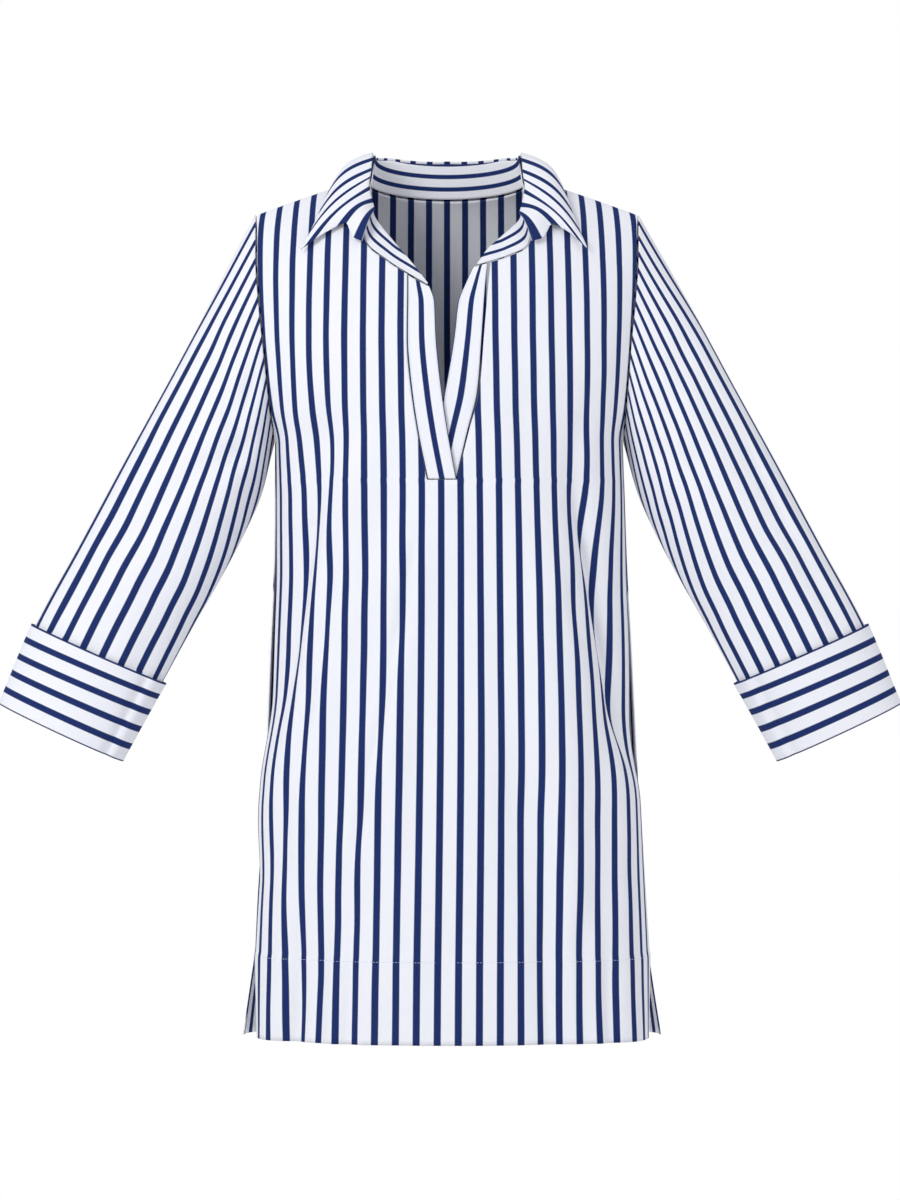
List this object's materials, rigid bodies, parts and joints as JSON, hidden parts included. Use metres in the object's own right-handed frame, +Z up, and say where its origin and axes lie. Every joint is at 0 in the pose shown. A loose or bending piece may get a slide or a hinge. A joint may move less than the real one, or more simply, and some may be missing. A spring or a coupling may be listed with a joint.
{
  "type": "beach tunic dress",
  "caption": "Striped cotton popover tunic dress in worn form, with a pointed collar, open V placket, turned-back cuffs and a deep hem.",
  "frame": {"origin": "between the wearer's shoulders, level with the neck points of the shoulder seams", "axes": "+Z up the wearer's spine, the front faces -Y, +X is the wearer's left"},
  "size_m": [0.9004, 0.2284, 0.883],
  "materials": {
    "striped_cotton": "matt plain weave, white with navy stripes"
  },
  "bodies": {
    "root": {"front_panel": "striped_cotton", "back_panel": "striped_cotton", "placket_right": "striped_cotton", "placket_left": "striped_cotton", "sleeve_right": "striped_cotton", "sleeve_left": "striped_cotton", "cuff_right": "striped_cotton", "cuff_left": "striped_cotton", "collar_stand": "striped_cotton", "collar_leaf": "striped_cotton"}
  },
  "joints": []
}
